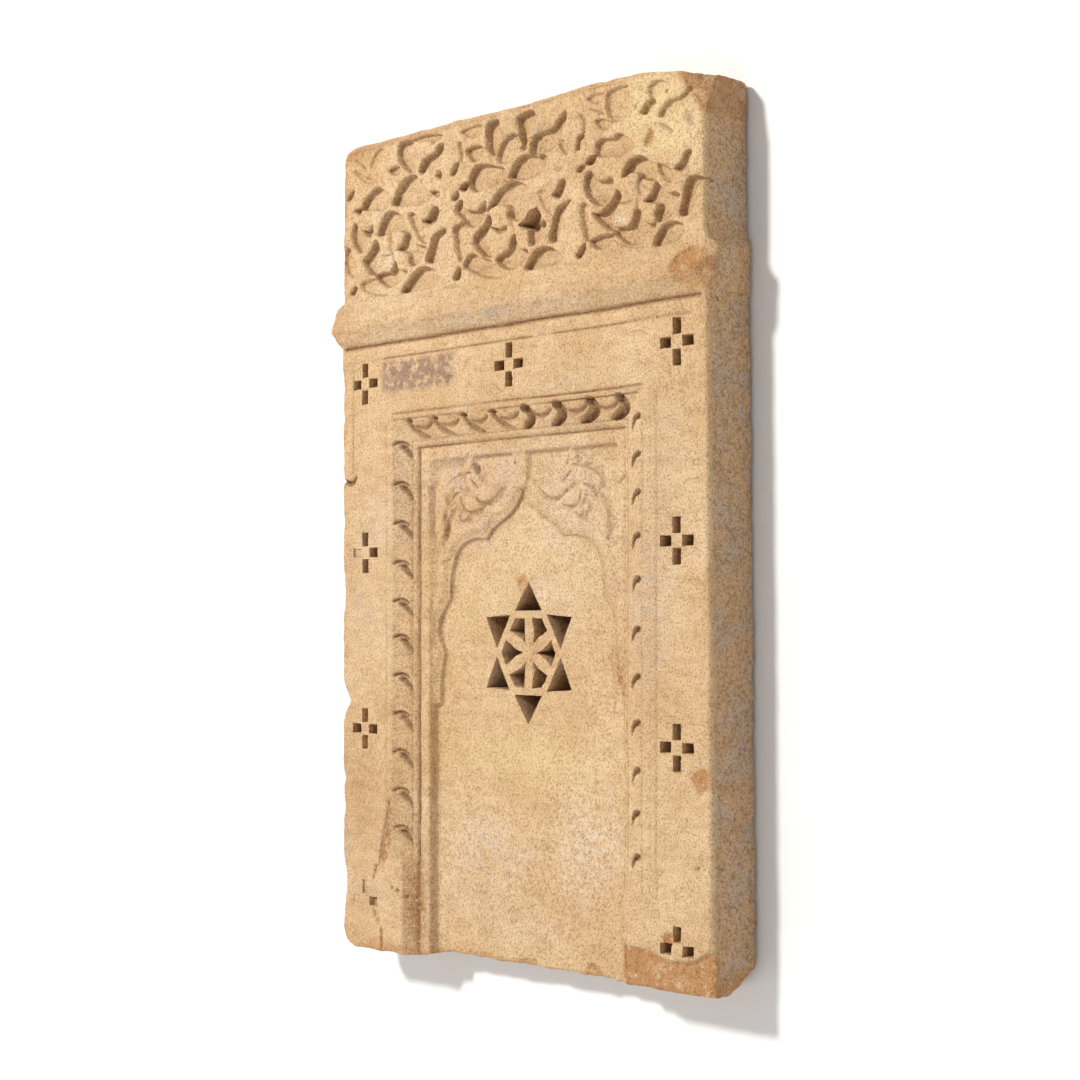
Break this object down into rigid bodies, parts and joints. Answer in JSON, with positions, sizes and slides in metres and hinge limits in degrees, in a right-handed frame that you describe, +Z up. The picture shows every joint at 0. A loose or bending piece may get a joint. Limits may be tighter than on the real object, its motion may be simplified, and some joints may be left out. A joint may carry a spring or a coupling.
{
  "type": "carved stone relief panel",
  "caption": "Carved sandstone wall panel: a vine frieze over a ledge, and below it a stepped frame round a blind cusped niche with a pierced six-pointed star.",
  "frame": {"origin": "the middle of the flat back face, where the panel lies against the wall that holds it", "axes": "+Z up along the panel's height, +X across it to the viewer's right, +Y into the wall; the carved front faces -Y"},
  "size_m": [0.486, 0.068, 0.7655],
  "materials": {
    "sandstone": "matte weathered buff sandstone, open grained and dusty, with darker tan sides and fresh orange-brown chips"
  },
  "bodies": {
    "root": {"relief_panel": "sandstone"}
  },
  "joints": []
}
